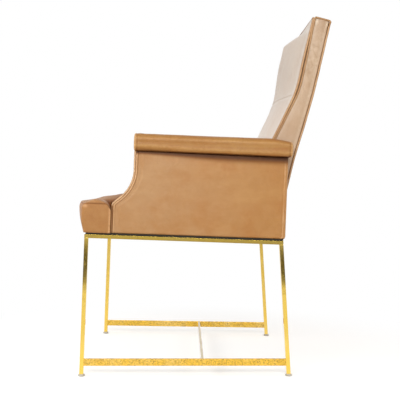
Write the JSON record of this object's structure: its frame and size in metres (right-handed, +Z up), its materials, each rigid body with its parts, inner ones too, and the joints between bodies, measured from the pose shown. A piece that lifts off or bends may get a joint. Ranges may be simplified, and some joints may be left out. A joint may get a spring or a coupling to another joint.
{
  "type": "high back dining chair",
  "caption": "High back dining armchair: leather seat, arms with padded rolls and a raked two-pad back on a slim brass bar base with an H stretcher.",
  "frame": {"origin": "centre of the footprint on the floor: the bottom centre of the bounding box", "axes": "+X to the sitter's left, +Y to the rear of the chair, +Z up"},
  "size_m": [0.612, 0.7238, 1.0068],
  "materials": {
    "brass": "worn satin brass bar stock, a little tarnished",
    "glide": "pale grey moulded glide",
    "leather_side": "caramel leather, soft sheen, fine grain",
    "leather_seat": "caramel leather, creased and a little glossy",
    "leather_roll": "caramel leather, polished by hands",
    "leather_boxing": "paler worn caramel leather",
    "leather_pad": "faded leather with a strong sheen",
    "leather_piping": "welt of the same leather, edge rubbed pale",
    "dust_cloth": "black woven dust cloth",
    "webbing": "jute webbing",
    "foam": "upholstery foam",
    "wood": "beech frame, unfinished",
    "steel": "zinc plated screw"
  },
  "bodies": {
    "root": {"arm_pipings": "leather_piping", "back_bottom_rail": "wood", "back_lumbar_rail": "wood", "back_top_rail": "wood", "back_webbing": "webbing", "boxing_piping": "leather_piping", "corner_blocks": "wood", "cross_stretcher": "brass", "dust_cover": "dust_cloth", "frame_screws": "steel", "front_brass_rail": "brass", "front_left_glide": "glide", "front_left_leg": "brass", "front_right_glide": "glide", "front_right_leg": "brass", "left_arm_facing": "leather_side", "left_arm_front_post": "wood", "left_arm_rear_facing": "leather_side", "left_arm_rear_post": "wood", "left_arm_roll": "leather_roll", "left_arm_top_rail": "wood", "left_back_boxing": "leather_boxing", "left_brass_rail": "brass", "left_inner_panel": "leather_side", "left_outer_panel": "leather_side", "left_stile": "wood", "left_stretcher": "brass", "lower_back_foam": "foam", "lower_back_pad": "leather_pad", "mounting_tabs": "brass", "outside_back": "leather_side", "pad_piping": "leather_piping", "rear_brass_rail": "brass", "rear_left_glide": "glide", "rear_left_leg": "brass", "rear_piping": "leather_piping", "rear_right_glide": "glide", "rear_right_leg": "brass", "right_arm_facing": "leather_side", "right_arm_front_post": "wood", "right_arm_rear_facing": "leather_side", "right_arm_rear_post": "wood", "right_arm_roll": "leather_roll", "right_arm_top_rail": "wood", "right_back_boxing": "leather_boxing", "right_brass_rail": "brass", "right_inner_panel": "leather_side", "right_outer_panel": "leather_side", "right_stile": "wood", "right_stretcher": "brass", "seat_cover": "leather_seat", "seat_foam": "foam", "seat_front_rail": "wood", "seat_left_rail": "wood", "seat_rear_rail": "wood", "seat_right_rail": "wood", "seat_webbing": "webbing", "top_boxing": "leather_boxing", "upper_back_foam": "foam", "upper_back_pad": "leather_pad"}
  },
  "joints": []
}
